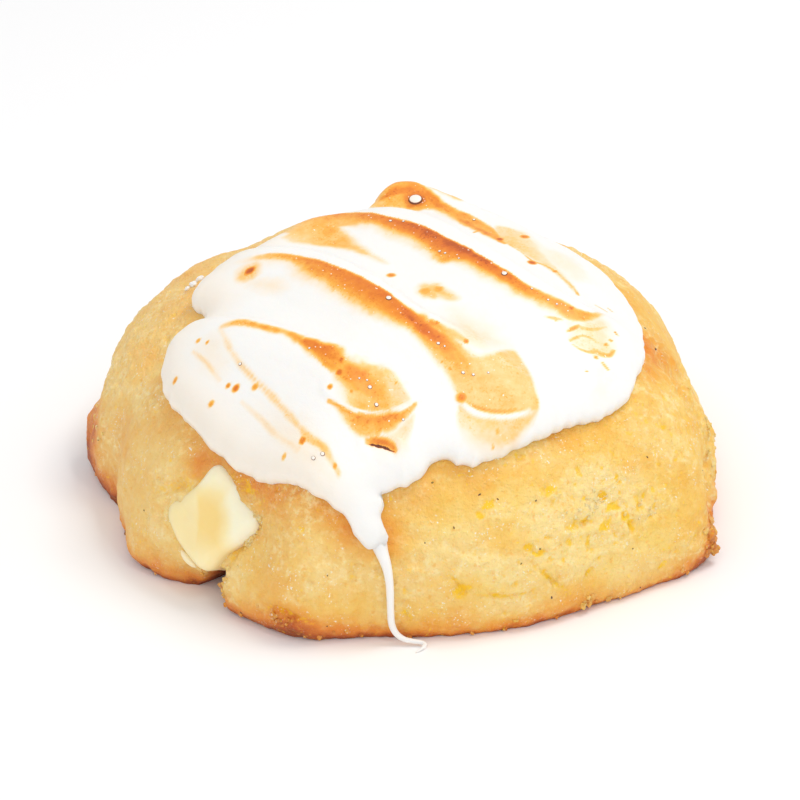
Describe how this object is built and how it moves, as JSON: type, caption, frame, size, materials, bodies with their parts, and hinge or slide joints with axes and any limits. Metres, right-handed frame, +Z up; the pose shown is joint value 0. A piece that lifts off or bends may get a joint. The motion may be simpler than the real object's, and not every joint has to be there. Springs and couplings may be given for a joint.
{
  "type": "lemon meringue cookie",
  "caption": "Thick soft round cookie with a torched meringue cap swiped over the top, a meringue string down the front and a white chocolate chunk in its side",
  "frame": {"origin": "on the table, under the middle of the footprint", "axes": "+Z is up; -Y is the front, where the meringue string runs down; +X is to the right seen from the front"},
  "size_m": [0.0912, 0.095, 0.0387],
  "materials": {
    "cookie": "baked buttery dough, slightly greasy, browned at the foot",
    "meringue": "glossy soft meringue, torched brown along its crests",
    "chunk": "waxy white chocolate"
  },
  "bodies": {
    "root": {"cookie": "cookie", "meringue": "meringue", "chunk": "chunk"}
  },
  "joints": []
}
